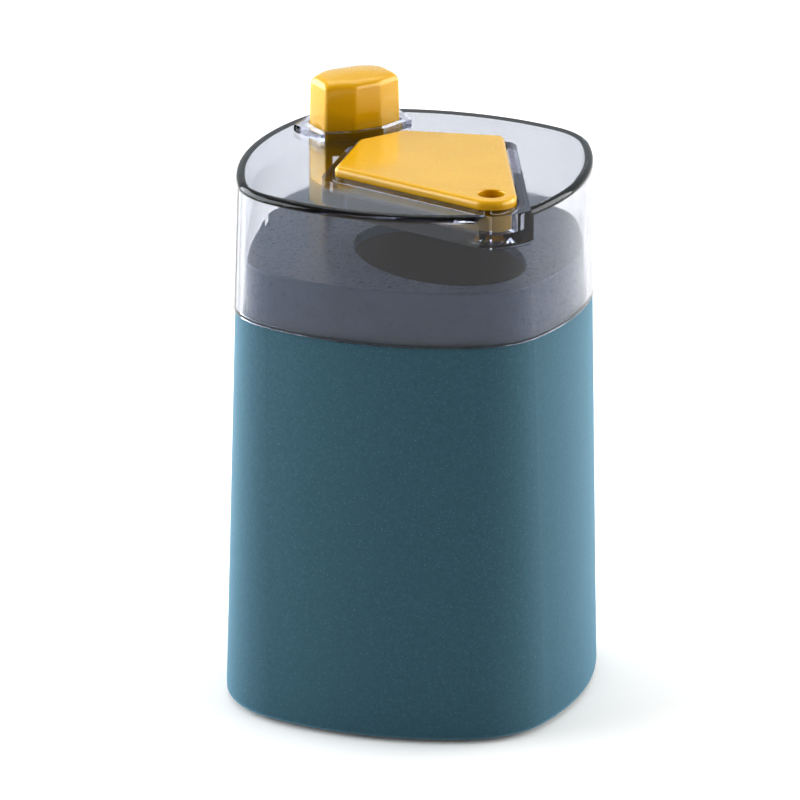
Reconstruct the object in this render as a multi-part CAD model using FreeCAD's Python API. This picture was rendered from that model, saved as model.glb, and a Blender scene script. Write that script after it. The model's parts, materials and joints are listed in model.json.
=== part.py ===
import FreeCAD, Part
import math
import os

from FreeCAD import Vector

# A press-to-serve toothpick dispenser: a tapered square barrel, a neck with an oval hopper, and a clear
# lid with a serving plate in its top. The push button stands near the back left corner and the plate's
# nose, where one toothpick at a time rises, lies over the front right corner.
#
# Millimetres. +Z is up, the origin is on the table under the centre of the barrel, and the front face
# looks along -Y. The lid, the hopper and the mechanism are laid out on the diagonal between those two
# corners: "along" is the distance along it, positive towards the button, and "across" is square to it.

# ---- barrel ----
foot_proud = 0.5
barrel_height = 69.5
barrel_half_bottom = 31.0
barrel_half_top = 29.5
side_radius_bottom = 53.4
side_radius_top = 47.7
corner_radius_bottom = 16.7
corner_radius_top = 13.1
barrel_wall = 1.5
barrel_foot_radius = 1.2
barrel_rim_radius = 0.3
post_radius = 2.8
post_height = 11.6
post_inset = 2.1
post_offset = 8.4

# ---- neck and deck ----
neck_rise = 9.1
neck_spigot = 10.0
neck_wall = 1.5
neck_clearance = 0.1
neck_edge_radius = 0.4
deck_thickness = 1.8
deck_boss_radius = 2.4
deck_boss_drop = 5.8
lug_half_length = 5.0
lug_height = 1.2
lug_overlap = 0.2

# ---- lid ----
lid_height = 22.7
lid_overhang = 0.5
lid_draft = 0.65
lid_wall = 1.5
lid_top_thickness = 1.6
lid_edge_radius = 1.0
well_depth = 5.8
well_floor = 2.0
well_wall = 1.7
well_gap = 0.35
well_corner_radius = 2.4
well_nose_proud = 0.5

# ---- serving plate ----
plate_proud = 1.5
plate_thickness = 2.0
plate_edge_radius = 0.9
plate_left_along = -0.2
plate_left_across = 15.8
plate_right_along = 1.4
plate_right_across = 18.1
plate_back_left_gap = 4.9
plate_back_right_gap = 3.9
plate_back_across = 4.6
plate_nose_radius = 4.3
plate_corner_radius = 1.4
skirt_inset = 0.9
skirt_wall = 1.0
outlet_offset = 2.3
outlet_radius = 2.2
outlet_rim_radius = 0.3
outlet_boss_radius = 2.9
floor_hole_margin = 0.2
lead_in_radius = 4.0
lead_in_height = 1.4
peg_radius = 1.4
peg_back_gap = 3.4
peg_across = 2.6
peg_length = 1.6
peg_fit = 0.05

# ---- button, its bridge and its rod ----
button_rise = 10.2
button_skirt = 4.4
button_corner_gap = 5.95
button_back_across = 3.5
button_back_run = 2.6
button_side_across = 7.3
button_side_run = 5.9
button_front_across = 2.5
button_front_run = 1.7
button_draft = 1.2
button_edge_radius = 1.7
button_wall = 1.6
button_gap = 0.35
collar_wall = 1.2
collar_rise = 1.3
collar_ear = 1.2
leg_thickness = 1.5
leg_slot_gap = 0.3
leg_seat = 2.6
leg_fit = 0.05
bridge_thickness = 3.8
bridge_margin = 1.2
bridge_gap = 0.1
bridge_corner_radius = 1.0
rod_radius = 1.8
rod_inset = 1.1
rod_seat = 2.8
rod_foot_radius = 2.2
rod_foot_height = 2.0
rod_clearance = 0.05

# ---- hopper ----
hopper_front_gap = 0.7
hopper_back_gap = 8.5
hopper_mouth_across = 13.2
hopper_base_across = 12.0
hopper_taper_along = 4.2
hopper_wall = 1.4
floor_flange = 1.2
floor_front_rise = 1.3
floor_back_rise = 4.3
floor_fit = 0.1
floor_pin_gap = 0.5
ear_thickness = 2.0
ear_offset = 2.5
ear_radius = 2.8
arm_height = 4.0
arm_level = 34.0
arm_half_width = 3.6
arm_end = 3.4

# ---- base cover, feet and spring cup ----
cover_recess = 0.3
cover_thickness = 1.6
cover_clearance = 0.2
rubber_radius = 4.5
rubber_thickness = 1.3
rubber_edge_radius = 0.3
rubber_place = 15.5
rubber_fit = 0.1
cup_wall = 0.9
cup_height = 2.5
cup_gap = 0.3

# ---- screws ----
screw_radius = 1.1
screw_head_radius = 2.2
screw_head_height = 1.1
screw_fit = 0.05
screw_tip = 0.8
screw_slot_width = 0.6
screw_slot_depth = 0.5
base_screw_length = 9.0
bracket_screw_length = 5.4
ear_screw_length = 5.6

# ---- lever ----
pivot_height = 11.8
pivot_radius = 1.5
pivot_clearance = 0.05
swing = 15.0
lever_half_height = 2.2
lever_side_gap = 1.2
lever_end_gap = 2.3
lever_arm_width = 2.4
lever_boss_radius = 3.0
lever_boss_reach = 3.5
tail_reach = 17.0
tail_half_width = 3.0
tail_under = 1.8
tail_over = 0.6
nose_radius = 1.8
nose_gap = 0.05
fork_gap = 0.3
fork_width = 2.6
fork_web = 1.0
fork_tip = 1.9

# ---- bracket and pivot pin ----
cheek_gap = 0.4
cheek_thickness = 1.8
cheek_half_width = 3.2
bracket_plate = 1.6
bracket_plate_margin = 0.8
bracket_boss_radius = 2.6
bracket_boss_height = 3.0
bracket_boss_across = 8.0
pin_fit = 0.02
clip_radius = 2.9
clip_thickness = 0.6
clip_groove = 0.4
clip_gap = 0.1
clip_mouth = 1.6
pin_tail = 0.8

# ---- lifter and its channel ----
slide_foot_gap = 4.9
slide_rim_gap = 4.85
slide_thickness = 1.8
slide_half_width = 3.0
slide_length = 31.0
slide_clearance = 0.1
slide_foot_half = 1.8
slide_foot_top = 2.6
link_pin_radius = 0.8
link_pin_clearance = 0.12
link_pin_end = 0.4
finger_half_width = 1.4
finger_height = 2.2
finger_reach = 6.7
finger_gap = 0.3
finger_sink = 0.2
cradle_offset = 4.3
cradle_radius = 1.2
cradle_depth = 0.5
channel_start = 23.6
channel_length = 27.6
channel_wall = 1.0
channel_side = 1.2
channel_lip = 1.2
channel_seat_gap = 0.1
slot_headroom = 0.6

# ---- return spring ----
spring_radius = 2.6
spring_wire_radius = 0.4
spring_turns = 6
spring_end_gap = 0.05

# ---- how far a cutting tool reaches past the face that it opens ----
past = 1.0

# ---- places, levels, angles and travels that follow ----
def corner_centre(half, side_radius, corner_radius):
    """The x of the centre of a bulged square's corner arc."""
    bulge_centre = side_radius - half
    centre_gap = side_radius - corner_radius
    return (math.sqrt(2 * centre_gap**2 - bulge_centre**2) - bulge_centre) / 2


def corner_reach(half, side_radius, corner_radius):
    """How far a bulged square reaches along the diagonal."""
    return math.sqrt(2) * corner_centre(half, side_radius, corner_radius) + corner_radius


foot_reach = corner_reach(barrel_half_bottom, side_radius_bottom, corner_radius_bottom)
rim_reach = corner_reach(barrel_half_top, side_radius_top, corner_radius_top)
button_back_along = rim_reach - button_corner_gap
button_side_back = button_back_along - button_back_run
button_side_front = button_side_back - button_side_run
button_front_along = button_side_front - button_front_run
plate_back_left = button_front_along - plate_back_left_gap
plate_back_right = button_front_along - plate_back_right_gap
peg_along = plate_back_left - peg_back_gap
slide_along = -min(foot_reach - barrel_wall - slide_foot_gap, rim_reach - slide_rim_gap)
outlet_along = slide_along + outlet_offset
cradle_along = slide_along + cradle_offset
finger_end = slide_along + finger_reach
hopper_front = slide_along + hopper_front_gap
hopper_back = button_side_front - hopper_back_gap
hopper_along = (hopper_front + hopper_back) / 2
hopper_mouth_along = (hopper_back - hopper_front) / 2
hopper_base_along = hopper_mouth_along - hopper_taper_along

seam_z = foot_proud + barrel_height
neck_under_z = seam_z - neck_spigot
deck_z = seam_z + neck_rise
deck_under_z = deck_z - deck_thickness
deck_boss_z = deck_under_z - deck_boss_drop
lid_top_z = seam_z + lid_height
lid_under_z = lid_top_z - lid_top_thickness
well_under_z = lid_top_z - well_depth
well_floor_z = well_under_z + well_floor
plate_top_z = lid_top_z + plate_proud
plate_under_z = plate_top_z - plate_thickness
collar_top_z = lid_top_z + collar_rise
button_top_z = lid_top_z + button_rise
button_under_z = lid_top_z - button_skirt
cover_under_z = foot_proud + cover_recess
cover_top_z = cover_under_z + cover_thickness
pivot_z = cover_top_z + pivot_height
bridge_top_z = deck_under_z - bridge_gap
bridge_under_z = bridge_top_z - bridge_thickness

swing_sine = math.sin(math.radians(swing))
swing_cosine = math.cos(math.radians(swing))
swing_slope = math.tan(math.radians(swing))
rod_along = button_side_back - rod_inset
pivot_along = rod_along - tail_reach * (1 + swing_cosine) / 2
link_reach = pivot_along - slide_along
button_travel = 2 * tail_reach * swing_sine
lifter_travel = 2 * link_reach * swing_slope
nose_z = pivot_z + tail_reach * swing_sine
link_z = pivot_z - link_reach * swing_slope
rod_under_z = nose_z + nose_radius + nose_gap

floor_under_z = pivot_z + pivot_radius + floor_pin_gap
hopper_under_z = floor_under_z + floor_flange
floor_low_z = hopper_under_z + floor_front_rise
floor_high_z = hopper_under_z + floor_back_rise
finger_top_z = floor_low_z - finger_sink
finger_under_z = finger_top_z - finger_height
slot_top_z = finger_top_z + lifter_travel + slot_headroom
channel_under_z = cover_top_z + channel_start

ring_inner_along = hopper_base_along + hopper_wall + lever_end_gap
ring_inner_across = hopper_base_across + hopper_wall + lever_side_gap
boss_end = ring_inner_across * math.sqrt(1 - ((hopper_along - pivot_along) / ring_inner_along) ** 2)
boss_end += lever_arm_width + lever_boss_reach
cheek_inside = boss_end + cheek_gap
cheek_outside = cheek_inside + cheek_thickness
fork_inside = slide_half_width + fork_gap
fork_outside = fork_inside + fork_width


def on_diagonal(shape):
    """Turn a shape drawn with X along and Y across the diagonal into the part's own frame."""
    turned = shape.copy()
    turned.rotate(Vector(0, 0, 0), Vector(0, 0, 1), 135)
    return turned


def block(along, across, levels):
    """A box between two values along, two across and two levels."""
    size = [high - low for low, high in (along, across, levels)]
    return Part.makeBox(*size, Vector(along[0], across[0], levels[0]))


def upright(radius, low, high, along=0.0, across=0.0):
    return Part.makeCylinder(radius, high - low, Vector(along, across, low))


def crosswise(radius, along, z, half_length):
    """A round bar that lies across the diagonal."""
    return Part.makeCylinder(radius, 2 * half_length, Vector(along, -half_length, z), Vector(0, 1, 0))


def joined(shapes):
    return shapes[0].multiFuse(shapes[1:]).removeSplitter()


def extruded(wire, height):
    return Part.Face(wire).extrude(Vector(0, 0, height))


def lofted(low_wire, high_wire):
    return Part.makeLoft([low_wire, high_wire], True, True)


def level_edges(shape, z):
    """The edges of a shape that lie flat at one level."""
    flat = 0.01
    return [edge for edge in shape.Edges
            if abs(edge.BoundBox.ZMin - z) < flat and abs(edge.BoundBox.ZMax - z) < flat]


def bulged_square(half, side_radius, corner_radius, inset, z):
    """A square with bulging sides and round corners, with an even inset all round."""
    bulge_centre = side_radius - half
    centre = corner_centre(half, side_radius, corner_radius)
    reach = (side_radius - inset) / (side_radius - corner_radius)
    side_end = Vector(reach * centre, bulge_centre - reach * (centre + bulge_centre), z)
    side_start = Vector(-side_end.x, side_end.y, z)
    side_middle = Vector(0, inset - half, z)
    corner = centre + (corner_radius - inset) / math.sqrt(2)
    corner_middle = Vector(corner, -corner, z)
    next_start = Vector(-side_end.y, -side_end.x, z)
    edges = []
    for quarter in range(4):
        for points in ((side_start, side_middle, side_end), (side_end, corner_middle, next_start)):
            edge = Part.Arc(*points).toShape()
            edge.rotate(Vector(0, 0, 0), Vector(0, 0, 1), 90 * quarter)
            edges.append(edge)
    return Part.Wire(edges)


def barrel_half(z):
    share = (z - foot_proud) / barrel_height
    return barrel_half_bottom + share * (barrel_half_top - barrel_half_bottom)


def barrel_outline(z, inset):
    share = (z - foot_proud) / barrel_height
    side_radius = side_radius_bottom + share * (side_radius_top - side_radius_bottom)
    corner_radius = corner_radius_bottom + share * (corner_radius_top - corner_radius_bottom)
    return bulged_square(barrel_half(z), side_radius, corner_radius, inset, z)


def rim_outline(z, inset):
    """The barrel's outline at its rim, which the neck and the lid follow."""
    return bulged_square(barrel_half_top, side_radius_top, corner_radius_top, inset, z)


def lid_outline(z, inset):
    share = (z - seam_z) / lid_height
    return rim_outline(z, inset - lid_overhang + share * lid_draft)


def polygon(points, z):
    corners = [Vector(along, across, z) for along, across in points]
    return Part.makePolygon(corners + corners[:1])


def edge_normal(start, end):
    """The outward unit normal of one edge of an outline that is listed counter-clockwise."""
    edge = Vector(*end, 0) - Vector(*start, 0)
    return Vector(edge.y, -edge.x, 0).normalize()


def grown(points, margin):
    """A polygon, listed counter-clockwise, with every edge moved outwards by a margin."""
    result = []
    for i, (along, across) in enumerate(points):
        before = edge_normal(points[i - 1], points[i])
        after = edge_normal(points[i], points[(i + 1) % len(points)])
        shift = (before + after) * (margin / (1 + before.dot(after)))
        result.append((along + shift.x, across + shift.y))
    return result


def both_sides(half_points):
    """A closed outline from its corners on one side of the diagonal, listed front to back."""
    return [(along, -across) for along, across in half_points] + half_points[::-1]


button_points = both_sides([
    (button_front_along, button_front_across),
    (button_side_front, button_side_across),
    (button_side_back, button_side_across),
    (button_back_along, button_back_across),
])


def button_outline(z, inset):
    """The button's faceted outline, which narrows upwards from the collar."""
    draft = math.tan(math.radians(button_draft)) * (z - collar_top_z)
    return polygon(grown(button_points, -draft - inset), z)


def nose_heading(corner):
    """The direction from a side corner of the plate along the side that touches its round nose."""
    along = outlet_along - corner.x
    lean = math.asin(plate_nose_radius / math.hypot(along, corner.y))
    heading = math.atan2(-corner.y, along) - math.copysign(lean, corner.y)
    return Vector(math.cos(heading), math.sin(heading), 0)


def plate_points(margin):
    """The kite of the serving plate with its two long sides drawn on until they meet."""
    right = Vector(plate_right_along, -plate_right_across, 0)
    left = Vector(plate_left_along, plate_left_across, 0)
    right_side = nose_heading(right)
    left_side = nose_heading(left)
    reach = (left - right).cross(left_side).z / right_side.cross(left_side).z
    apex = right + right_side * reach
    back = [(plate_back_right, -plate_back_across), (plate_back_left, plate_back_across)]
    return grown([(apex.x, apex.y), (right.x, right.y)] + back + [(left.x, left.y)], margin)


def plate_outline(margin, z):
    """The kite with its round nose about the outlet."""
    points = plate_points(margin)
    radius = plate_nose_radius + margin
    outlet = Vector(outlet_along, 0, z)
    first = outlet + edge_normal(points[0], points[1]) * radius
    last = outlet + edge_normal(points[-1], points[0]) * radius
    path = [first] + [Vector(along, across, z) for along, across in points[1:]] + [last]
    edges = [Part.makeLine(start, end) for start, end in zip(path, path[1:])]
    edges.append(Part.Arc(last, outlet - Vector(radius, 0, 0), first).toShape())
    return Part.Wire(edges)


def round_corners(prism, radius):
    """The same prism with its upright edges behind the outlet rounded."""
    thin = 0.01
    corners = [edge for edge in prism.Edges if edge.BoundBox.XMin > outlet_along
               and max(edge.BoundBox.XLength, edge.BoundBox.YLength) < thin]
    return prism.makeFillet(radius, corners)


def oval(along_half, across_half, z):
    """An oval about the hopper's middle, with its long axis on the diagonal."""
    wire = Part.Wire([Part.Ellipse(Vector(0, 0, 0), along_half, across_half).toShape()])
    wire.translate(Vector(hopper_along, 0, z))
    return wire


def hopper_taper(margin, low, high):
    """The hopper's tapered oval between two levels, grown by an even margin."""
    wires = []
    for z in (low, high):
        share = (z - hopper_under_z) / (deck_under_z - hopper_under_z)
        along_half = hopper_base_along + share * (hopper_mouth_along - hopper_base_along)
        across_half = hopper_base_across + share * (hopper_mouth_across - hopper_base_across)
        wires.append(oval(along_half + margin, across_half + margin, z))
    return lofted(*wires)


def hopper_ears():
    """Where the hopper is screwed to the deck, as along and across."""
    side = hopper_mouth_across + hopper_wall + ear_offset
    back = hopper_along + hopper_mouth_along + hopper_wall + ear_offset
    return [(hopper_along, side), (hopper_along, -side), (back, 0.0)]


def post_places():
    """Where the base cover is screwed to the barrel, as x and y."""
    inside = barrel_half(cover_top_z) - barrel_wall - post_inset
    sag = post_offset**2 / (2 * side_radius_bottom)
    return [(inside - sag, post_offset), (-post_offset, sag - inside), (-inside, 0.0), (0.0, inside)]


def bracket_boss_places():
    turned = math.radians(135)
    places = []
    for across in (-bracket_boss_across, bracket_boss_across):
        x = pivot_along * math.cos(turned) - across * math.sin(turned)
        y = pivot_along * math.sin(turned) + across * math.cos(turned)
        places.append((x, y))
    return places


def screw(place, under_z, length):
    """A countersunk screw that points up, with a crossed slot in its head."""
    head = Part.makeCone(screw_head_radius, screw_radius, screw_head_height, Vector(*place, under_z))
    shank_top = under_z + length - screw_tip
    shank = upright(screw_radius, under_z + screw_head_height, shank_top, *place)
    tip = Part.makeCone(screw_radius, screw_radius / 4, screw_tip, Vector(*place, shank_top))
    body = joined([head, shank, tip])
    for turn in (0, 90):
        slot = block((-screw_radius, screw_radius), (-screw_slot_width / 2, screw_slot_width / 2),
                     (-screw_slot_depth, screw_slot_depth))
        slot.rotate(Vector(0, 0, 0), Vector(0, 0, 1), turn)
        slot.translate(Vector(*place, under_z))
        body = body.cut(slot)
    return body


def screw_hole(place, under_z, length):
    """The countersunk way of a screw, with its clearance, open below."""
    wide = screw_head_radius + screw_fit
    narrow = screw_radius + screw_fit
    head = Part.makeCone(wide, narrow, screw_head_height, Vector(*place, under_z))
    return joined([head, upright(narrow, under_z, under_z + length + screw_fit, *place)])


# ---- body and base ----
def outer_barrel():
    shell = lofted(barrel_outline(foot_proud, 0), barrel_outline(seam_z, 0))
    shell = shell.makeFillet(barrel_foot_radius, level_edges(shell, foot_proud))
    shell = shell.makeFillet(barrel_rim_radius, level_edges(shell, seam_z))
    shell = shell.cut(lofted(barrel_outline(foot_proud - past, barrel_wall),
                             barrel_outline(seam_z + past, barrel_wall)))
    posts = [upright(post_radius, cover_top_z, cover_top_z + post_height, *place) for place in post_places()]
    wall_inside = barrel_half(neck_under_z) - barrel_wall
    neck_inside = barrel_half_top - barrel_wall - neck_clearance - neck_wall
    lug = block((neck_inside - lug_overlap, wall_inside + barrel_wall / 2),
                (-lug_half_length, lug_half_length), (neck_under_z - lug_height, neck_under_z))
    lugs = []
    for quarter in range(4):
        turned = lug.copy()
        turned.rotate(Vector(0, 0, 0), Vector(0, 0, 1), 90 * quarter)
        lugs.append(turned)
    shell = joined([shell] + posts + lugs)
    for place in post_places():
        shell = shell.cut(screw_hole(place, cover_under_z, base_screw_length))
    return shell


def base_cover():
    plate = extruded(barrel_outline(cover_under_z, barrel_wall + cover_clearance), cover_thickness)
    cup_inner = spring_radius + spring_wire_radius + cup_gap
    cup = upright(cup_inner + cup_wall, cover_top_z, cover_top_z + cup_height, rod_along)
    cup = cup.cut(upright(cup_inner, cover_top_z, cover_top_z + cup_height, rod_along))
    plate = joined([plate, on_diagonal(cup)])
    for place in post_places():
        plate = plate.cut(screw_hole(place, cover_under_z, base_screw_length))
    for place in bracket_boss_places():
        plate = plate.cut(screw_hole(place, cover_under_z, bracket_screw_length))
    for x in (-rubber_place, rubber_place):
        for y in (-rubber_place, rubber_place):
            plate = plate.cut(upright(rubber_radius + rubber_fit, cover_under_z, rubber_thickness, x, y))
    return plate


def rubber_feet():
    feet = []
    for x in (-rubber_place, rubber_place):
        for y in (-rubber_place, rubber_place):
            foot = upright(rubber_radius, 0, rubber_thickness, x, y)
            feet.append(foot.makeFillet(rubber_edge_radius, level_edges(foot, 0)))
    return Part.makeCompound(feet)


def base_screws():
    return Part.makeCompound([screw(place, cover_under_z, base_screw_length) for place in post_places()])


def bracket_screws():
    places = bracket_boss_places()
    return Part.makeCompound([screw(place, cover_under_z, bracket_screw_length) for place in places])


# ---- neck and hopper ----
def neck_deck():
    inset = barrel_wall + neck_clearance
    shell = extruded(rim_outline(neck_under_z, inset), deck_z - neck_under_z)
    shell = shell.makeFillet(neck_edge_radius, level_edges(shell, deck_z))
    shell = shell.cut(extruded(rim_outline(neck_under_z, inset + neck_wall), deck_under_z - neck_under_z))
    bosses = [upright(deck_boss_radius, deck_boss_z, deck_under_z, *place) for place in hopper_ears()]
    shell = joined([shell] + [on_diagonal(boss) for boss in bosses])
    mouth = oval(hopper_mouth_along, hopper_mouth_across, deck_under_z - past)
    cuts = [extruded(mouth, deck_thickness + 2 * past)]
    for side in (-1, 1):
        outside = side * (button_side_across + leg_slot_gap)
        inside = side * (button_side_across - leg_thickness - leg_slot_gap)
        along = (button_side_front - leg_slot_gap, button_side_back + leg_slot_gap)
        cuts.append(block(along, sorted((inside, outside)), (deck_under_z - past, deck_z + past)))
    cuts += [screw_hole(place, deck_boss_z - ear_thickness, ear_screw_length) for place in hopper_ears()]
    for cut in cuts:
        shell = shell.cut(on_diagonal(cut))
    return shell


def hopper_bin():
    body = hopper_taper(hopper_wall, hopper_under_z, deck_under_z)
    ear_levels = (deck_boss_z - ear_thickness, deck_boss_z)
    added = []
    for along, across in hopper_ears():
        added.append(upright(ear_radius, *ear_levels, along, across))
        if across == 0:
            added.append(block((hopper_along, along), (-ear_radius, ear_radius), ear_levels))
        else:
            added.append(block((along - ear_radius, along + ear_radius), sorted((0, across)), ear_levels))
    added.append(block((hopper_along, rod_along + arm_end), (-arm_half_width, arm_half_width),
                       (arm_level, arm_level + arm_height)))
    body = joined([body] + added)
    body = body.cut(hopper_taper(0, hopper_under_z - past, deck_under_z + past))
    front = hopper_front - hopper_wall
    slot_half = finger_half_width + finger_gap
    body = body.cut(block((front - past, hopper_along), (-slot_half, slot_half),
                          (hopper_under_z - past, slot_top_z)))
    body = body.cut(upright(rod_radius + rod_clearance, arm_level - past, arm_level + arm_height + past,
                            rod_along))
    for place in hopper_ears():
        body = body.cut(screw_hole(place, deck_boss_z - ear_thickness, ear_screw_length))
    return on_diagonal(body)


def hopper_floor():
    along_half = hopper_base_along + hopper_wall
    flange = extruded(oval(along_half, hopper_base_across + hopper_wall, floor_under_z), floor_flange)
    plug = hopper_taper(-floor_fit, hopper_under_z, floor_high_z)
    front = hopper_along - hopper_base_along
    back = hopper_along + hopper_base_along
    slope = (floor_high_z - floor_low_z) / (back - front)
    above = floor_high_z + past
    wedge = Part.makePolygon([
        Vector(front - past, -along_half, floor_low_z - slope),
        Vector(back + past, -along_half, floor_high_z + slope),
        Vector(back + past, -along_half, above),
        Vector(front - past, -along_half, above),
        Vector(front - past, -along_half, floor_low_z - slope),
    ])
    body = joined([flange, plug]).cut(Part.Face(wedge).extrude(Vector(0, 2 * along_half, 0)))
    notch_half = finger_half_width + finger_gap
    notch = block((front - hopper_wall - past, finger_end + finger_gap), (-notch_half, notch_half),
                  (floor_under_z - past, above))
    return on_diagonal(body.cut(notch))


def hopper_screws():
    under_z = deck_boss_z - ear_thickness
    screws = [screw(place, under_z, ear_screw_length) for place in hopper_ears()]
    return on_diagonal(Part.makeCompound(screws))


def lifter_channel():
    slide_half = slide_thickness / 2 + slide_clearance
    outer_half = slide_half_width + slide_clearance + channel_side
    levels = (channel_under_z, channel_under_z + channel_length)
    body = block((slide_along - slide_half - channel_wall, hopper_along - hopper_base_along),
                 (-outer_half, outer_half), levels)
    side = slide_half_width + slide_clearance
    body = body.cut(block((slide_along - slide_half, slide_along + slide_half), (-side, side), levels))
    mouth = side - channel_lip
    body = body.cut(block((slide_along, hopper_along), (-mouth, mouth), levels))
    hopper = hopper_taper(hopper_wall + channel_seat_gap, channel_under_z - past, deck_under_z)
    return on_diagonal(body.cut(hopper))


# ---- mechanism ----
def lever_bracket():
    plate = block((pivot_along - cheek_half_width - bracket_plate_margin,
                   pivot_along + cheek_half_width + bracket_plate_margin),
                  (-cheek_outside, cheek_outside), (cover_top_z, cover_top_z + bracket_plate))
    parts = [plate]
    for side in (-1, 1):
        across = sorted((side * cheek_inside, side * cheek_outside))
        along = (pivot_along - cheek_half_width, pivot_along + cheek_half_width)
        parts.append(block(along, across, (cover_top_z, pivot_z)))
        centre = Vector(pivot_along, across[0], pivot_z)
        parts.append(Part.makeCylinder(cheek_half_width, cheek_thickness, centre, Vector(0, 1, 0)))
        boss_top_z = cover_top_z + bracket_plate + bracket_boss_height
        parts.append(upright(bracket_boss_radius, cover_top_z, boss_top_z, pivot_along,
                             side * bracket_boss_across))
    body = joined(parts).cut(crosswise(pivot_radius + pin_fit, pivot_along, pivot_z, cheek_outside + past))
    body = on_diagonal(body)
    for place in bracket_boss_places():
        body = body.cut(screw_hole(place, cover_under_z, bracket_screw_length))
    return body


def clip_places(width):
    """Where the grooves or clips of the two pin ends start, measured across, for things of one width."""
    middle = cheek_outside + clip_gap + (clip_thickness + clip_gap) / 2
    return [middle - width / 2, -middle - width / 2]


def pivot_pin():
    end = cheek_outside + 2 * clip_gap + clip_thickness + pin_tail
    pin = crosswise(pivot_radius, pivot_along, pivot_z, end)
    width = clip_thickness + clip_gap
    for start in clip_places(width):
        centre = Vector(pivot_along, start, pivot_z)
        ring = Part.makeCylinder(pivot_radius + past, width, centre, Vector(0, 1, 0))
        core = Part.makeCylinder(pivot_radius - clip_groove, width, centre, Vector(0, 1, 0))
        pin = pin.cut(ring.cut(core))
    return on_diagonal(pin)


def pivot_clips():
    clips = []
    bore = pivot_radius - clip_groove + pin_fit
    for start in clip_places(clip_thickness):
        centre = Vector(pivot_along, start, pivot_z)
        disc = Part.makeCylinder(clip_radius, clip_thickness, centre, Vector(0, 1, 0))
        disc = disc.cut(Part.makeCylinder(bore, clip_thickness, centre, Vector(0, 1, 0)))
        mouth = block((pivot_along - clip_mouth / 2, pivot_along + clip_mouth / 2),
                      (start - past, start + clip_thickness + past), (pivot_z - clip_radius - past, pivot_z))
        clips.append(disc.cut(mouth))
    return on_diagonal(Part.makeCompound(clips))


def lever():
    """A yoke whose two arms pass round the hopper to forked tips, with a tail under the push rod."""
    tall = 2 * lever_boss_radius
    outer_along = ring_inner_along + lever_arm_width
    ring = extruded(oval(outer_along, ring_inner_across + lever_arm_width, -lever_half_height),
                    2 * lever_half_height)
    ring.translate(Vector(-pivot_along, 0, 0))
    boss = crosswise(lever_boss_radius, 0, 0, boss_end)
    ring_back = hopper_along - pivot_along + ring_inner_along
    tail = block((ring_back, tail_reach), (-tail_half_width, tail_half_width), (-tail_under, tail_over))
    nose = crosswise(nose_radius, tail_reach, 0, tail_half_width)
    slot_half = link_pin_radius + link_pin_clearance
    prong_root = fork_web + slot_half - link_reach
    prongs = []
    for side in (-1, 1):
        across = sorted((side * fork_inside, side * fork_outside))
        prongs.append(block((-link_reach - fork_tip, prong_root), across,
                            (-lever_half_height, lever_half_height)))
    hollow = extruded(oval(ring_inner_along, ring_inner_across, -tall), 2 * tall)
    hollow.translate(Vector(-pivot_along, 0, 0))
    far = -link_reach - lever_end_gap - lever_arm_width
    pin_way = fork_outside + link_pin_end + fork_gap
    body = joined([ring, boss, tail, nose] + prongs)
    cuts = [
        hollow,
        block((far, ring_back - ring_inner_along), (-fork_inside, fork_inside), (-tall, tall)),
        block((far, -link_reach), (-pin_way, pin_way), (-slot_half, slot_half)),
        crosswise(slot_half, -link_reach, 0, pin_way),
        crosswise(pivot_radius + pivot_clearance, 0, 0, boss_end + past),
    ]
    for cut in cuts:
        body = body.cut(cut)
    body.rotate(Vector(0, 0, 0), Vector(0, 1, 0), -swing)
    body.translate(Vector(pivot_along, 0, pivot_z))
    return on_diagonal(body)


def lifter():
    """A flat slide with a finger that reaches into the hopper and carries one toothpick."""
    slide_half = slide_thickness / 2
    foot_under_z = link_z - slide_foot_half
    width = (-slide_half_width, slide_half_width)
    slide = block((slide_along - slide_half, slide_along + slide_half), width,
                  (foot_under_z, foot_under_z + slide_length))
    foot = block((slide_along - slide_foot_half, slide_along + slide_foot_half), width,
                 (foot_under_z, link_z + slide_foot_top))
    finger = block((slide_along, finger_end), (-finger_half_width, finger_half_width),
                   (finger_under_z, finger_top_z))
    body = joined([slide, foot, finger])
    dish_radius = (cradle_radius**2 + cradle_depth**2) / (2 * cradle_depth)
    dish_centre = Vector(cradle_along, 0, finger_top_z - cradle_depth + dish_radius)
    body = body.cut(Part.makeSphere(dish_radius, dish_centre))
    pin_way = crosswise(link_pin_radius + pin_fit, slide_along, link_z, slide_half_width + past)
    return on_diagonal(body.cut(pin_way))


def link_pin():
    return on_diagonal(crosswise(link_pin_radius, slide_along, link_z, fork_outside + link_pin_end))


def return_spring():
    low = cover_top_z + spring_wire_radius
    high = nose_z - nose_radius - spring_end_gap - spring_wire_radius
    coil = Part.makeHelix((high - low) / spring_turns, high - low, spring_radius)
    section = Part.Circle(Vector(spring_radius, 0, 0), Vector(0, 1, 0), spring_wire_radius)
    wire = Part.Wire(coil).makePipeShell([Part.Wire([section.toShape()])], True, True)
    wire.translate(Vector(rod_along, 0, low))
    return on_diagonal(wire)


# ---- button ----
def button_cap():
    body = lofted(button_outline(button_under_z, 0), button_outline(button_top_z, 0))
    body = body.makeFillet(button_edge_radius, level_edges(body, button_top_z))
    body = body.cut(lofted(button_outline(button_under_z - past, button_wall),
                           button_outline(button_top_z - button_edge_radius, button_wall)))
    legs = []
    for side in (-1, 1):
        across = sorted((side * (button_side_across - leg_thickness), side * button_side_across))
        legs.append(block((button_side_front, button_side_back), across,
                          (bridge_top_z - leg_seat, button_under_z + button_wall)))
    return on_diagonal(joined([body] + legs))


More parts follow.
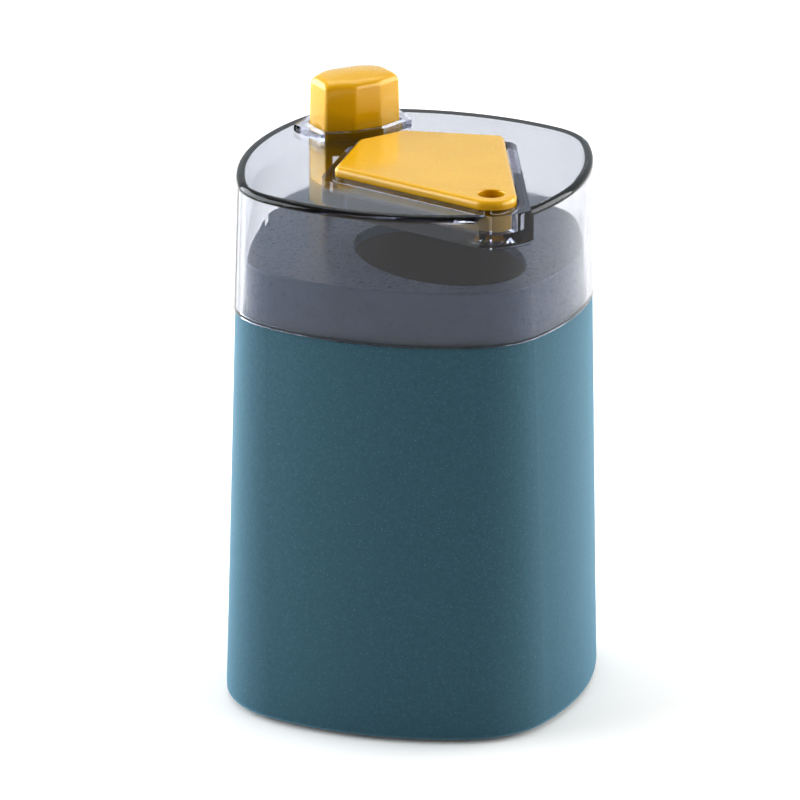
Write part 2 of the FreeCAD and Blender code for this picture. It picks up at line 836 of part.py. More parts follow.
def leg_bridge():
    along = (button_side_front - bridge_margin, rod_along + rod_radius + bridge_margin)
    across = button_side_across + bridge_margin
    body = block(along, (-across, across), (bridge_under_z, bridge_top_z))
    corners = [edge for edge in body.Edges if edge.BoundBox.ZLength > bridge_thickness / 2]
    body = body.makeFillet(bridge_corner_radius, corners)
    for side in (-1, 1):
        outside = side * (button_side_across + leg_fit)
        inside = side * (button_side_across - leg_thickness - leg_fit)
        body = body.cut(block((button_side_front - leg_fit, button_side_back + leg_fit),
                              sorted((inside, outside)), (bridge_top_z - leg_seat - leg_fit, bridge_top_z)))
    seat_top_z = bridge_under_z + rod_seat + leg_fit
    return on_diagonal(body.cut(upright(rod_radius + leg_fit, bridge_under_z, seat_top_z, rod_along)))


def push_rod():
    shaft = upright(rod_radius, rod_under_z, bridge_under_z + rod_seat, rod_along)
    foot = upright(rod_foot_radius, rod_under_z, rod_under_z + rod_foot_height, rod_along)
    return on_diagonal(joined([shaft, foot]))


# ---- lid ----
def collar_points():
    """The collar's outline: the button's, grown, with its two side corners drawn out into ears."""
    points = []
    for along, across in grown(button_points, button_gap + collar_wall):
        if along > button_side_back and abs(across) > button_side_across:
            along -= collar_ear / 2
            across += math.copysign(collar_ear, across)
        points.append((along, across))
    return points


def lid_shell():
    shell = lofted(lid_outline(seam_z, 0), lid_outline(lid_top_z, 0))
    shell = shell.makeFillet(lid_edge_radius, level_edges(shell, lid_top_z))
    shell = shell.cut(lofted(lid_outline(seam_z - past, lid_wall), lid_outline(lid_under_z, lid_wall)))
    margin = well_gap + well_wall
    well = extruded(polygon(plate_points(margin), well_under_z), well_depth)
    well = round_corners(well, well_corner_radius)
    nose_limit = extruded(rim_outline(well_under_z, lid_draft - lid_overhang - well_nose_proud), well_depth)
    well = on_diagonal(well).common(nose_limit)
    collar = on_diagonal(extruded(polygon(collar_points(), lid_under_z), collar_top_z - lid_under_z))
    shell = joined([shell, well, collar])
    hole = polygon(grown(button_points, button_gap), lid_under_z - past)
    cuts = [
        round_corners(extruded(plate_outline(well_gap, well_floor_z), plate_top_z - well_floor_z),
                      plate_corner_radius + well_gap),
        extruded(hole, collar_top_z - lid_under_z + 2 * past),
        upright(outlet_radius + floor_hole_margin, well_under_z - past, well_floor_z + past, outlet_along),
        Part.makeCone(lead_in_radius, outlet_radius + floor_hole_margin, lead_in_height,
                      Vector(outlet_along, 0, well_under_z)),
    ]
    for side in (-1, 1):
        cuts.append(upright(peg_radius + peg_fit, well_under_z - past, well_floor_z + past,
                            peg_along, side * peg_across))
    for cut in cuts:
        shell = shell.cut(on_diagonal(cut))
    return shell


def serving_plate():
    """The kite-shaped plate on a skirt that stands on the well's floor, with the outlet in its nose."""
    plate = round_corners(extruded(plate_outline(0, plate_under_z), plate_thickness), plate_corner_radius)
    plate = plate.makeFillet(plate_edge_radius, level_edges(plate, plate_top_z))
    skirt_height = plate_under_z + past - well_floor_z
    skirt = extruded(plate_outline(-skirt_inset, well_floor_z), skirt_height)
    skirt = skirt.cut(extruded(plate_outline(-skirt_inset - skirt_wall, well_floor_z), skirt_height))
    parts = [plate, skirt, upright(outlet_boss_radius, well_floor_z, plate_under_z + past, outlet_along)]
    for side in (-1, 1):
        parts.append(upright(peg_radius, well_floor_z - peg_length, plate_under_z + past,
                             peg_along, side * peg_across))
    plate = joined(parts).cut(upright(outlet_radius, well_floor_z - past, plate_top_z + past, outlet_along))
    rim = [edge for edge in level_edges(plate, plate_top_z)
           if edge.BoundBox.XLength < 2 * outlet_radius + past]
    return on_diagonal(plate.makeFillet(outlet_rim_radius, rim))


nodes = {
    "outer_barrel": outer_barrel,
    "base_cover": base_cover,
    "rubber_feet": rubber_feet,
    "base_screws": base_screws,
    "neck_deck": neck_deck,
    "hopper_bin": hopper_bin,
    "hopper_floor": hopper_floor,
    "hopper_screws": hopper_screws,
    "lifter_channel": lifter_channel,
    "lever_bracket": lever_bracket,
    "bracket_screws": bracket_screws,
    "pivot_pin": pivot_pin,
    "pivot_clips": pivot_clips,
    "lever": lever,
    "lifter": lifter,
    "link_pin": link_pin,
    "return_spring": return_spring,
    "push_rod": push_rod,
    "leg_bridge": leg_bridge,
    "button_cap": button_cap,
    "lid_shell": lid_shell,
    "serving_plate": serving_plate,
}

os.makedirs("parts", exist_ok=True)
for name, make in nodes.items():
    shape = make()
    shape.exportStep("parts/" + name + ".step")
    print(name, len(shape.Solids), shape.isValid(), round(shape.Volume, 1))

print("button travel", round(button_travel, 4), "lifter travel", round(lifter_travel, 4))
print("pivot", round(pivot_along, 4), round(pivot_z, 4), "spring foot", round(cover_top_z, 4))
print("outlet", round(outlet_along, 4), "rod", round(rod_along, 4), "link", round(slide_along, 4))
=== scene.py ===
import json
import math

import bmesh
import bpy
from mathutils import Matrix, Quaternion, Vector
from mathutils.geometry import convex_hull_2d


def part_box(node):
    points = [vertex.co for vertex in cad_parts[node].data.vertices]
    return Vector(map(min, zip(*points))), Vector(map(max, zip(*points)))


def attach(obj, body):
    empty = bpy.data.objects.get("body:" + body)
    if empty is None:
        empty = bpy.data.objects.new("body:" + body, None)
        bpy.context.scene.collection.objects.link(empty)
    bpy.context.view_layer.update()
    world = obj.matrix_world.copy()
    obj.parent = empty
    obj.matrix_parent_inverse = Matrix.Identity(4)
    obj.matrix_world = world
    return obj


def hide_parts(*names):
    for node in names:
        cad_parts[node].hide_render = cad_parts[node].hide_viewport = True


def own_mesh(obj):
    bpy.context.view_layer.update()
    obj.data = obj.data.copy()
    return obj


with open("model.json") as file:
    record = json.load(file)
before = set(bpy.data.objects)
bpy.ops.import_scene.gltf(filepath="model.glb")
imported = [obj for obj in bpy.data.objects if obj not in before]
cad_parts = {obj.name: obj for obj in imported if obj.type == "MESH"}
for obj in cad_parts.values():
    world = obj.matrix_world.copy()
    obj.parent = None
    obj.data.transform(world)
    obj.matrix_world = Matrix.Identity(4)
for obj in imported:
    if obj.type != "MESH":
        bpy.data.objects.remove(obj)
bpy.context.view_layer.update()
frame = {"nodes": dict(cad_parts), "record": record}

nodes = frame["nodes"]
mm = 0.001
sameLevel = 0.02 * mm  # mesh points this close in height stand on one level
sameCorner = 0.2 * mm  # outline corners this close are one corner
print("frame loaded:", len(nodes), "nodes")


def hullOf(points):
    # their convex outline, counter-clockwise, without doubled corners
    hull = [points[i] for i in convex_hull_2d(points)]
    return [p for i, p in enumerate(hull) if (p - hull[i - 1]).length > sameCorner]


def outlineAt(name, level):
    # the corners of a node's outline at one level
    return hullOf([v.co.xy for v in nodes[name].data.vertices if abs(v.co.z - level) < sameLevel])


def paint(red, green, blue):
    # a screen colour, 0 to 255, as the linear colour that shaders want
    parts = [c / 255 for c in (red, green, blue)]
    return tuple(c / 12.92 if c <= 0.04045 else ((c + 0.055) / 1.055) ** 2.4 for c in parts) + (1.0,)


def startMaterial(name, even):
    # even: what is the same all over the surface, by socket name
    material = bpy.data.materials.new(name)
    material.use_nodes = True
    shader = material.node_tree.nodes["Principled BSDF"]
    for socket, value in even.items():
        shader.inputs[socket].default_value = value
    return material, material.node_tree, shader


def pieceCoords(tree):
    return tree.nodes.new("ShaderNodeTexCoord").outputs["Object"]


def grain(tree, coords, size, detail=3.0, rough=0.55):
    noise = tree.nodes.new("ShaderNodeTexNoise")
    noise.inputs["Scale"].default_value = 1 / size
    noise.inputs["Detail"].default_value = detail
    noise.inputs["Roughness"].default_value = rough
    tree.links.new(coords, noise.inputs["Vector"])
    return noise.outputs["Fac"]


def between(tree, factor, low, high, lowAt=0.3, highAt=0.7):
    # a ramp: factor to a colour
    ramp = tree.nodes.new("ShaderNodeValToRGB")
    ramp.color_ramp.elements[0].position = lowAt
    ramp.color_ramp.elements[0].color = low
    ramp.color_ramp.elements[1].position = highAt
    ramp.color_ramp.elements[1].color = high
    tree.links.new(factor, ramp.inputs["Fac"])
    return ramp.outputs["Color"]


def span(tree, factor, low, high, fromLow=0.3, fromHigh=0.7):
    # a ramp: factor to a number
    rescale = tree.nodes.new("ShaderNodeMapRange")
    rescale.inputs["From Min"].default_value = fromLow
    rescale.inputs["From Max"].default_value = fromHigh
    rescale.inputs["To Min"].default_value = low
    rescale.inputs["To Max"].default_value = high
    tree.links.new(factor, rescale.inputs["Value"])
    return rescale.outputs["Result"]


def combine(tree, operation, first, second):
    # one step of arithmetic, on two outputs or on an output and a number
    step = tree.nodes.new("ShaderNodeMath")
    step.operation = operation
    tree.links.new(first, step.inputs[0])
    if isinstance(second, bpy.types.NodeSocket):
        tree.links.new(second, step.inputs[1])
    else:
        step.inputs[1].default_value = second
    return step.outputs["Value"]


def reachAlong(tree, coords, direction):
    # how far the coordinates go along a direction
    reach = tree.nodes.new("ShaderNodeVectorMath")
    reach.operation = "DOT_PRODUCT"
    reach.inputs[1].default_value = direction
    tree.links.new(coords, reach.inputs[0])
    return reach.outputs["Value"]


def distanceFrom(tree, coords, corners):
    # how far a point lies outside a convex outline, seen from above; negative inside it
    farthest = None
    for i, corner in enumerate(corners):
        along = (corner - corners[i - 1]).normalized()
        outward = Vector((along.y, -along.x, 0))
        past = combine(tree, "SUBTRACT", reachAlong(tree, coords, outward), outward.xy.dot(corner))
        farthest = combine(tree, "MAXIMUM", farthest, past) if farthest else past
    return farthest


def flecks(tree, coords, size, radius):
    # soft dots, one to a cell, as a mask that is full from half the radius inwards
    cells = tree.nodes.new("ShaderNodeTexVoronoi")
    cells.inputs["Scale"].default_value = 1 / size
    tree.links.new(coords, cells.inputs["Vector"])
    return span(tree, cells.outputs["Distance"], 0.0, 1.0, radius, radius / 2)


def fleckOver(tree, coords, colour, fleck):
    # fleck: its paint, cell size, radius as a share of the cell, and strength
    fleckPaint, size, radius, strength = fleck
    mix = tree.nodes.new("ShaderNodeMix")
    mix.data_type = "RGBA"
    mask = combine(tree, "MULTIPLY", flecks(tree, coords, size, radius), strength)
    tree.links.new(mask, mix.inputs["Factor"])
    tree.links.new(colour, mix.inputs["A"])
    mix.inputs["B"].default_value = fleckPaint
    return mix.outputs["Result"]


def addBump(tree, shader, heights):
    # heights: pairs of a height output and its depth in metres, the coarse one first
    normal = None
    for height, depth in heights:
        bump = tree.nodes.new("ShaderNodeBump")
        bump.inputs["Strength"].default_value = 1.0
        bump.inputs["Distance"].default_value = depth
        tree.links.new(height, bump.inputs["Height"])
        if normal:
            tree.links.new(normal, bump.inputs["Normal"])
        normal = bump.outputs["Normal"]
    tree.links.new(normal, shader.inputs["Normal"])


# in each look, roughness is its least and its most, and a depth is that of the bump
barrelLook = {
    "deep": paint(49, 82, 93),
    "clear": paint(52, 87, 99),
    "mottle": 0.7 * mm,
    "mottleSpan": (0.36, 0.64),
    "paleFleck": (paint(150, 186, 200), 0.55 * mm, 0.16, 0.28),  # paint, cell, radius, strength
    "darkFleck": (paint(24, 52, 64), 0.7535 * mm, 0.17, 0.4),
    "grain": 0.22 * mm,
    "grainDepth": 0.012 * mm,
    "wave": 9 * mm,
    "waveDepth": 0.03 * mm,
    "roughness": (0.44, 0.60),
    "even": {
        "IOR": 1.45,
        "Specular IOR Level": 0.3,
        "Sheen Weight": 0.8,
        "Sheen Roughness": 0.45,
        "Sheen Tint": paint(150, 200, 225),
    },
}


def barrelSpeckle():
    # soft matt plastic, blue-green, with pale and dark flecks moulded in
    look = barrelLook
    material, tree, shader = startMaterial("barrelSpeckle", look["even"])
    coords = pieceCoords(tree)
    mottle = grain(tree, coords, look["mottle"])
    colour = between(tree, mottle, look["deep"], look["clear"], *look["mottleSpan"])
    colour = fleckOver(tree, coords, colour, look["paleFleck"])
    colour = fleckOver(tree, coords, colour, look["darkFleck"])
    tree.links.new(colour, shader.inputs["Base Color"])
    texture = grain(tree, coords, look["grain"], detail=2.0)
    tree.links.new(span(tree, texture, *look["roughness"]), shader.inputs["Roughness"])
    wave = grain(tree, coords, look["wave"], detail=1.0)
    addBump(tree, shader, [(wave, look["waveDepth"]), (texture, look["grainDepth"])])
    return material


satinLooks = {
    "neckGrey": {
        "deep": paint(74, 92, 118),
        "clear": paint(80, 99, 126),
        "cloud": 6 * mm,
        "roughness": (0.25, 0.36),
        "grain": 0.6 * mm,
        "grainDepth": 0.002 * mm,
        "specular": 0.4,
    },
    "hopperDark": {
        "deep": paint(24, 22, 30),
        "clear": paint(29, 27, 36),
        "cloud": 6 * mm,
        "roughness": (0.45, 0.56),
        "grain": 0.35 * mm,
        "grainDepth": 0.006 * mm,
        "specular": 0.5,
    },
    "coverBlueGreen": {
        "deep": paint(44, 80, 95),
        "clear": paint(54, 92, 108),
        "cloud": 6 * mm,
        "roughness": (0.45, 0.56),
        "grain": 0.3 * mm,
        "grainDepth": 0.012 * mm,
        "specular": 0.5,
    },
    "frameGrey": {
        "deep": paint(92, 94, 98),
        "clear": paint(104, 106, 110),
        "cloud": 6 * mm,
        "roughness": (0.37, 0.48),
        "grain": 0.35 * mm,
        "grainDepth": 0.006 * mm,
        "specular": 0.5,
    },
    "linkageWhite": {
        "deep": paint(222, 221, 214),
        "clear": paint(232, 231, 225),
        "cloud": 6 * mm,
        "roughness": (0.30, 0.41),
        "grain": 0.35 * mm,
        "grainDepth": 0.006 * mm,
        "specular": 0.5,
    },
}


def satinPlastic(name):
    # plain moulded plastic: slight cloudiness, a fine spark-eroded texture
    look = satinLooks[name]
    material, tree, shader = startMaterial(name, {"IOR": 1.49, "Specular IOR Level": look["specular"]})
    coords = pieceCoords(tree)
    cloud = grain(tree, coords, look["cloud"], detail=2.0)
    texture = grain(tree, coords, look["grain"], detail=2.0)
    tree.links.new(between(tree, cloud, look["deep"], look["clear"]), shader.inputs["Base Color"])
    tree.links.new(span(tree, texture, *look["roughness"]), shader.inputs["Roughness"])
    addBump(tree, shader, [(texture, look["grainDepth"])])
    return material


yellowLook = {
    "deep": paint(213, 165, 6),
    "clear": paint(219, 171, 9),
    "ripple": 8 * mm,
    "rippleDepth": 0.02 * mm,
    "grain": 0.5 * mm,
    "grainDepth": 0.0012 * mm,
    "roughness": (0.22, 0.28),
    "even": {
        "IOR": 1.5,
        "Specular IOR Level": 0.2,
        "Coat Weight": 0.9,
        "Coat Roughness": 0.14,
        "Subsurface Weight": 0.1,
        "Subsurface Radius": (1.4, 0.7, 0.2),
        "Subsurface Scale": 0.8 * mm,
    },
}


def buttonYellow():
    # glossy warm yellow with a little depth under a clear skin
    look = yellowLook
    material, tree, shader = startMaterial("buttonYellow", look["even"])
    coords = pieceCoords(tree)
    ripple = grain(tree, coords, look["ripple"], detail=2.0)
    texture = grain(tree, coords, look["grain"], detail=2.0)
    tree.links.new(between(tree, ripple, look["deep"], look["clear"]), shader.inputs["Base Color"])
    tree.links.new(span(tree, texture, *look["roughness"]), shader.inputs["Roughness"])
    addBump(tree, shader, [(ripple, look["rippleDepth"]), (texture, look["grainDepth"])])
    return material


smokeLook = {
    "tint": (0.48, 0.505, 0.588, 1.0),
    "density": 265.0,
    "ripple": 7 * mm,
    "rippleDepth": 0.008 * mm,
    "roughness": (0.015, 0.05),
    "face": (1.0, 1.0, 1.0, 1.0),
    # painted shade: the dark band that the thick clear rim and the plate's shadow give round the well
    "paintedRimShade": (0.46, 0.40, 0.50, 1.0),
    "paintedRimShadeWidth": 2.0 * mm,
    "plateProud": 1.5 * mm,
    "skinDepth": 0.2 * mm,  # the painted rim shade starts this far under the lid's top
    "fade": 0.1 * mm,
    "even": {"IOR": 1.49, "Transmission Weight": 1.0},
}


def paintedRimShadeMask(tree, coords):
    # where shade is painted: 1 on the lid's top face in a band round the serving plate, 0 elsewhere
    look = smokeLook
    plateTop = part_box("serving_plate")[1].z
    outside = distanceFrom(tree, coords, outlineAt("serving_plate", plateTop))
    shadeBandEnd = look["paintedRimShadeWidth"] + look["fade"]
    shadeBand = span(tree, outside, 1.0, 0.0, look["paintedRimShadeWidth"], shadeBandEnd)
    height = tree.nodes.new("ShaderNodeSeparateXYZ")
    tree.links.new(coords, height.inputs["Vector"])
    skin = plateTop - look["plateProud"] - look["skinDepth"]
    onTop = span(tree, height.outputs["Z"], 0.0, 1.0, skin - look["fade"], skin)
    return combine(tree, "MULTIPLY", shadeBand, onTop)


def smokeClear():
    # clear plastic with a smoke tint that darkens with thickness, and painted shade in a band on the lid's
    # top round the well
    look = smokeLook
    material, tree, shader = startMaterial("smokeClear", look["even"])
    coords = pieceCoords(tree)
    # the base colour darkens to painted shade in the band round the well
    colour = between(tree, paintedRimShadeMask(tree, coords), look["face"], look["paintedRimShade"], 0.0, 1.0)
    tree.links.new(colour, shader.inputs["Base Color"])
    ripple = grain(tree, coords, look["ripple"], detail=1.0)
    tree.links.new(span(tree, ripple, *look["roughness"]), shader.inputs["Roughness"])
    addBump(tree, shader, [(ripple, look["rippleDepth"])])
    smoke = tree.nodes.new("ShaderNodeVolumeAbsorption")
    smoke.inputs["Color"].default_value = look["tint"]
    smoke.inputs["Density"].default_value = look["density"]
    tree.links.new(smoke.outputs["Volume"], tree.nodes["Material Output"].inputs["Volume"])
    return material


steelLooks = {
    "screwSteel": {
        "deep": paint(170, 170, 174),
        "clear": paint(205, 205, 208),
        "roughness": (0.22, 0.38),
        "scuff": 0.18 * mm,
        "scuffDepth": 0.004 * mm,
    },
    "springWire": {
        "deep": paint(140, 140, 146),
        "clear": paint(205, 205, 208),
        "roughness": (0.18, 0.34),
        "scuff": 0.18 * mm,
        "scuffDepth": 0.004 * mm,
    },
}


def brightSteel(name):
    # turned or drawn steel, finely scuffed
    look = steelLooks[name]
    material, tree, shader = startMaterial(name, {"Metallic": 1.0})
    scuffs = grain(tree, pieceCoords(tree), look["scuff"], detail=4.0, rough=0.7)
    tree.links.new(between(tree, scuffs, look["deep"], look["clear"]), shader.inputs["Base Color"])
    tree.links.new(span(tree, scuffs, *look["roughness"]), shader.inputs["Roughness"])
    addBump(tree, shader, [(scuffs, look["scuffDepth"])])
    return material


rubberLook = {
    "deep": paint(22, 22, 23),
    "clear": paint(40, 40, 42),
    "grain": 0.25 * mm,
    "grainDepth": 0.02 * mm,
    "roughness": (0.7, 0.9),
    "even": {"IOR": 1.5, "Specular IOR Level": 0.35},
}


def footRubber():
    look = rubberLook
    material, tree, shader = startMaterial("footRubber", look["even"])
    texture = grain(tree, pieceCoords(tree), look["grain"])
    tree.links.new(between(tree, texture, look["deep"], look["clear"]), shader.inputs["Base Color"])
    tree.links.new(span(tree, texture, *look["roughness"]), shader.inputs["Roughness"])
    addBump(tree, shader, [(texture, look["grainDepth"])])
    return material


finishes = {
    "barrel": barrelSpeckle(),
    "neck": satinPlastic("neckGrey"),
    "hopper": satinPlastic("hopperDark"),
    "clear_lid": smokeClear(),
    "yellow": buttonYellow(),
    "base": satinPlastic("coverBlueGreen"),
    "feet": footRubber(),
    "frame": satinPlastic("frameGrey"),
    "linkage": satinPlastic("linkageWhite"),
    "steel": brightSteel("screwSteel"),
    "spring": brightSteel("springWire"),
}
slotOf = {part["node"]: part["material_slot"] for part in frame["record"]["subparts"]}
for name, node in nodes.items():
    node.data.materials.clear()
    node.data.materials.append(finishes[slotOf[name]])
print("finishes:", len(finishes))


leastTurn = 0.01  # in radians, so that a straight run doesn't ask for an endless rounding
widestRounding = 12 * mm


def roundedOutline(corners, inset, edgeWidth, steps):
    # the outline moved in by an inset, each corner rounded over the same width
    points = []
    for i, corner in enumerate(corners):
        before = (corner - corners[i - 1]).normalized()
        after = (corners[(i + 1) % len(corners)] - corner).normalized()
        first = Vector((before.y, -before.x))
        second = Vector((after.y, -after.x))
        rounding = min(edgeWidth / max(first.angle(second), leastTurn), widestRounding)
        centre = corner - (first + second) * ((inset + rounding) / (1 + first.dot(second)))
        for step in range(steps + 1):
            out = first.lerp(second, step / steps).normalized()
            points.append(centre + out * rounding)
    return points


def ringAt(bm, outline, level):
    return [bm.verts.new((point.x, point.y, level)) for point in outline]


def bridgeRings(bm, rings):
    for lower, upper in zip(rings, rings[1:]):
        for i in range(len(lower)):
            bm.faces.new((lower[i - 1], lower[i], upper[i], upper[i - 1]))


def addMesh(name, bm):
    mesh = bpy.data.meshes.new(name)
    bm.to_mesh(mesh)
    bm.free()
    piece = bpy.data.objects.new(name, mesh)
    bpy.context.scene.collection.objects.link(piece)
    return piece


def giveFinish(piece, slot):
    piece.data.materials.append(finishes[slot])


buttonCrown = {
    "draft": math.radians(1.2),  # how far the sides lean in
    "wall": 1.6 * mm,
    "skirtEdge": 0.2 * mm,
    "hollowEdge": 0.1 * mm,
    "facetEdge": 1.0 * mm,
    "topEdge": 2.8 * mm,  # the facets' edges grow this wide on the shoulder
    "cornerSteps": 5,
    "shoulder": 1.9 * mm,
    "shoulderSweep": math.radians(80),
    "shoulderSteps": 8,
    "crown": 0.45 * mm,
    "crownSteps": 5,
    "shortestLeg": 5 * mm,
    "legEdge": 0.4 * mm,
    "legEdgeSteps": 2,
}


def addLeg(bm, corners, bottom, top):
    outline = roundedOutline(corners, 0, buttonCrown["legEdge"], buttonCrown["legEdgeSteps"])
    rings = [ringAt(bm, outline, bottom), ringAt(bm, outline, top)]
    bridgeRings(bm, rings)
    bm.faces.new(rings[0])
    bm.faces.new(rings[1][::-1])


def crownButton():
    # the button with its facets softened and its top crowned, on its two legs
    look = buttonCrown
    foot, top = (corner.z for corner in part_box("button_cap"))
    vertices = nodes["button_cap"].data.vertices
    skirt = min(v.co.z for v in vertices if v.co.z > foot + look["shortestLeg"])
    facets = outlineAt("button_cap", skirt)
    bm = bmesh.new()

    def ring(level, inset, edgeWidth):
        narrowing = math.tan(look["draft"]) * (level - skirt)
        return ringAt(bm, roundedOutline(facets, inset + narrowing, edgeWidth, look["cornerSteps"]), level)

    # up the hollow and down again, round the skirt, and up the outside to the shoulder
    ceiling = top - look["shoulder"]
    skirtTop = skirt + look["skirtEdge"]
    rings = [
        ring(ceiling, look["wall"], look["hollowEdge"]),
        ring(skirtTop, look["wall"], look["hollowEdge"]),
        ring(skirt, look["wall"] - look["skirtEdge"], look["skirtEdge"]),
        ring(skirt, look["skirtEdge"], look["facetEdge"]),
        ring(skirtTop, 0, look["facetEdge"]),
        ring(ceiling, 0, look["facetEdge"]),
    ]
    bm.faces.new(rings[0])

    # the shoulder bends in, and the facets' edges widen with it
    crownFoot = top - look["crown"]
    sweep = look["shoulderSweep"]
    for step in range(1, look["shoulderSteps"] + 1):
        share = step / look["shoulderSteps"]
        level = ceiling + (crownFoot - ceiling) * math.sin(sweep * share) / math.sin(sweep)
        edgeWidth = look["facetEdge"] + (look["topEdge"] - look["facetEdge"]) * share
        rings.append(ring(level, look["shoulder"] * (1 - math.cos(sweep * share)), edgeWidth))

    # the crown closes in on the middle
    edge = [v.co.copy() for v in rings[-1]]
    centre = sum(edge, Vector()) / len(edge)
    for step in range(1, look["crownSteps"]):
        share = step / look["crownSteps"]
        level = crownFoot + look["crown"] * (1 - (1 - share) ** 2)
        rings.append(ringAt(bm, [point.lerp(centre, share) for point in edge], level))
    bridgeRings(bm, rings)
    tip = bm.verts.new((centre.x, centre.y, top))
    for i in range(len(edge)):
        bm.faces.new((rings[-1][i - 1], rings[-1][i], tip))
    for face in bm.faces:
        face.smooth = True

    # one leg on either side of the lid's diagonal
    feet = [v.co.xy for v in vertices if v.co.z < foot + sameLevel]
    for side in (1, -1):
        leg = [point for point in feet if side * (point.x + point.y) > 0]
        addLeg(bm, hullOf(leg), foot, skirt + look["wall"])
    bmesh.ops.recalc_face_normals(bm, faces=bm.faces)
    piece = addMesh("buttonCrown", bm)
    giveFinish(piece, "yellow")
    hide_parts("button_cap")
    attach(piece, "button")


crownButton()
print("button crowned")


springCoil = {
    "turns": 6,
    "closedTurns": 0.75,  # at each end
    "wire": 0.4 * mm,  # its radius
    "sides": 12,
    "stepsPerTurn": 40,
}


def coilSpring():
    # a wound wire with closed ends, in the place of the plain one
    low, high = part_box("return_spring")
    axisX = (low.x + high.x) / 2
    axisY = (low.y + high.y) / 2
    wire = springCoil["wire"]
    radius = (high.x - low.x) / 2 - wire
    bottom = low.z + wire
    top = high.z - wire
    turns = springCoil["turns"]
    closed = springCoil["closedTurns"]
    pitch = (top - bottom - 4 * wire * closed) / (turns - 2 * closed)
    steps = turns * springCoil["stepsPerTurn"]
    up = Vector((0, 0, 1))
    bm = bmesh.new()
    rings = []
    for step in range(steps + 1):
        # the end turns touch their neighbours, the middle ones are spread evenly
        turn = turns * step / steps
        closedSoFar = min(turn, closed) + max(0, turn - turns + closed)
        openSoFar = max(0, min(turn, turns - closed) - closed)
        lift = closedSoFar * 2 * wire + openSoFar * pitch
        angle = 2 * math.pi * turn
        out = Vector((math.cos(angle), math.sin(angle), 0))
        centre = Vector((axisX, axisY, bottom + lift)) + out * radius
        ring = []
        for side in range(springCoil["sides"]):
            around = 2 * math.pi * side / springCoil["sides"]
            ring.append(bm.verts.new(centre + (out * math.cos(around) + up * math.sin(around)) * wire))
        rings.append(ring)
    bridgeRings(bm, rings)
    bm.faces.new(rings[0])
    bm.faces.new(rings[-1][::-1])
    bmesh.ops.recalc_face_normals(bm, faces=bm.faces)
    for face in bm.faces:
        face.smooth = len(face.verts) == 4
    piece = addMesh("returnSpring", bm)
    giveFinish(piece, "spring")
    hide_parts("return_spring")
    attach(piece, "base")
    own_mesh(piece)


coilSpring()
print("spring wound")


studio = {
    "floorSize": 6.0,
    "floorColour": (0.95, 0.92, 0.89, 1.0),
    "floorRoughness": 0.8,
    "floorGlow": 0.05,
    "frontHeading": (0.26, -0.97, 0.0),
    "skyFront": (0.22, 0.205, 0.195, 1.0),
    "skyBack": (0.75, 0.79, 0.82, 1.0),
    "skyTurn": (-0.3, 0.6),  # the sky goes from back to front between these, -1 behind and 1 in front
    "printGamma": 0.8,
    "lampAim": (0, 0, 0.05),
    # name: place, width, height, power in watts, colour
    "lamps": {
        "leftPanel": ((-1.10, -0.10, 0.35), 1.8, 1.0, 31.0, (0.92, 0.96, 1.0)),
        "rightPanel": ((1.10, 0.30, 0.35), 1.8, 1.0, 23.0, (0.96, 0.98, 1.0)),
        "topPanel": ((0.0, 0.35, 1.0), 1.0, 0.8, 4.0, (1.0, 1.0, 1.0)),
    },
}


def layFloor():
    half = studio["floorSize"] / 2
    bm = bmesh.new()
    outline = [Vector((x * half, y * half)) for x, y in ((-1, -1), (1, -1), (1, 1), (-1, 1))]
    bm.faces.new(ringAt(bm, outline, 0))
    floor = addMesh("floor", bm)
    material = startMaterial("paleFloor", {
        "Base Color": studio["floorColour"],
        "Roughness": studio["floorRoughness"],
        "Emission Color": studio["floorColour"],
        "Emission Strength": studio["floorGlow"],
    })[0]
    floor.data.materials.append(material)


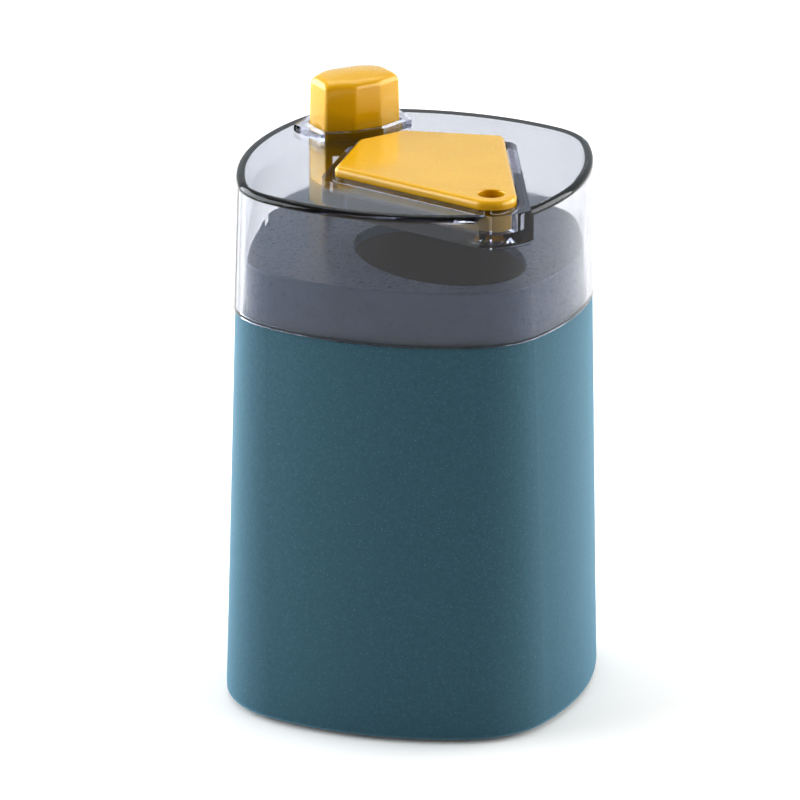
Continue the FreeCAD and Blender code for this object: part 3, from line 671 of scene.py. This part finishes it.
def hangLamps():
    aim = Vector(studio["lampAim"])
    for name, (place, width, height, power, colour) in studio["lamps"].items():
        lamp = bpy.data.lights.new(name, "AREA")
        lamp.shape = "RECTANGLE"
        lamp.size = width
        lamp.size_y = height
        lamp.energy = power
        lamp.color = colour
        holder = bpy.data.objects.new(name, lamp)
        holder.location = place
        holder.rotation_euler = (aim - Vector(place)).to_track_quat("-Z", "Y").to_euler()
        bpy.context.scene.collection.objects.link(holder)


def paintSky():
    # a white tent, dimmer on the front side and bright behind
    world = bpy.data.worlds.new("studio")
    world.use_nodes = True
    tree = world.node_tree
    direction = tree.nodes.new("ShaderNodeTexCoord").outputs["Generated"]
    facing = reachAlong(tree, direction, studio["frontHeading"])
    turned = span(tree, facing, 0.0, 1.0, *studio["skyTurn"])
    colour = between(tree, turned, studio["skyBack"], studio["skyFront"], 0.0, 1.0)
    tree.links.new(colour, tree.nodes["Background"].inputs["Color"])
    bpy.context.scene.world = world
    bpy.context.scene.view_settings.view_transform = "Standard"
    bpy.context.scene.view_settings.gamma = studio["printGamma"]


cameraSet = {
    "azimuth": 15.177,
    "elevation": 19.736,
    "roll": 0.333,
    "distance": 1.23863,
    "aimHeight": 50.017 * mm,
    "focalPixels": 7296.6,
    "centrePixel": (413.956, 400.275),
    "imagePixels": 800,
    "sensorWidth": 36.0,
    "clip": (0.05, 20.0),
}


def setCamera():
    data = bpy.data.cameras.new("camera")
    pixels = cameraSet["imagePixels"]
    centreX, centreY = cameraSet["centrePixel"]
    data.sensor_width = cameraSet["sensorWidth"]
    data.lens = cameraSet["focalPixels"] * data.sensor_width / pixels
    data.shift_x = (pixels / 2 - centreX) / pixels
    data.shift_y = (centreY - pixels / 2) / pixels
    data.clip_start, data.clip_end = cameraSet["clip"]
    azimuth = math.radians(cameraSet["azimuth"])
    elevation = math.radians(cameraSet["elevation"])
    level = math.cos(elevation)
    back = Vector((math.sin(azimuth) * level, -math.cos(azimuth) * level, math.sin(elevation)))
    roll = Quaternion((0, 0, 1), math.radians(cameraSet["roll"]))
    camera = bpy.data.objects.new("camera", data)
    camera.location = Vector((0, 0, cameraSet["aimHeight"])) + back * cameraSet["distance"]
    camera.rotation_mode = "QUATERNION"
    camera.rotation_quaternion = (-back).to_track_quat("-Z", "Y") @ roll
    bpy.context.scene.collection.objects.link(camera)
    bpy.context.scene.camera = camera


layFloor()
hangLamps()
paintSky()
setCamera()
print("stage, lamps and camera set")
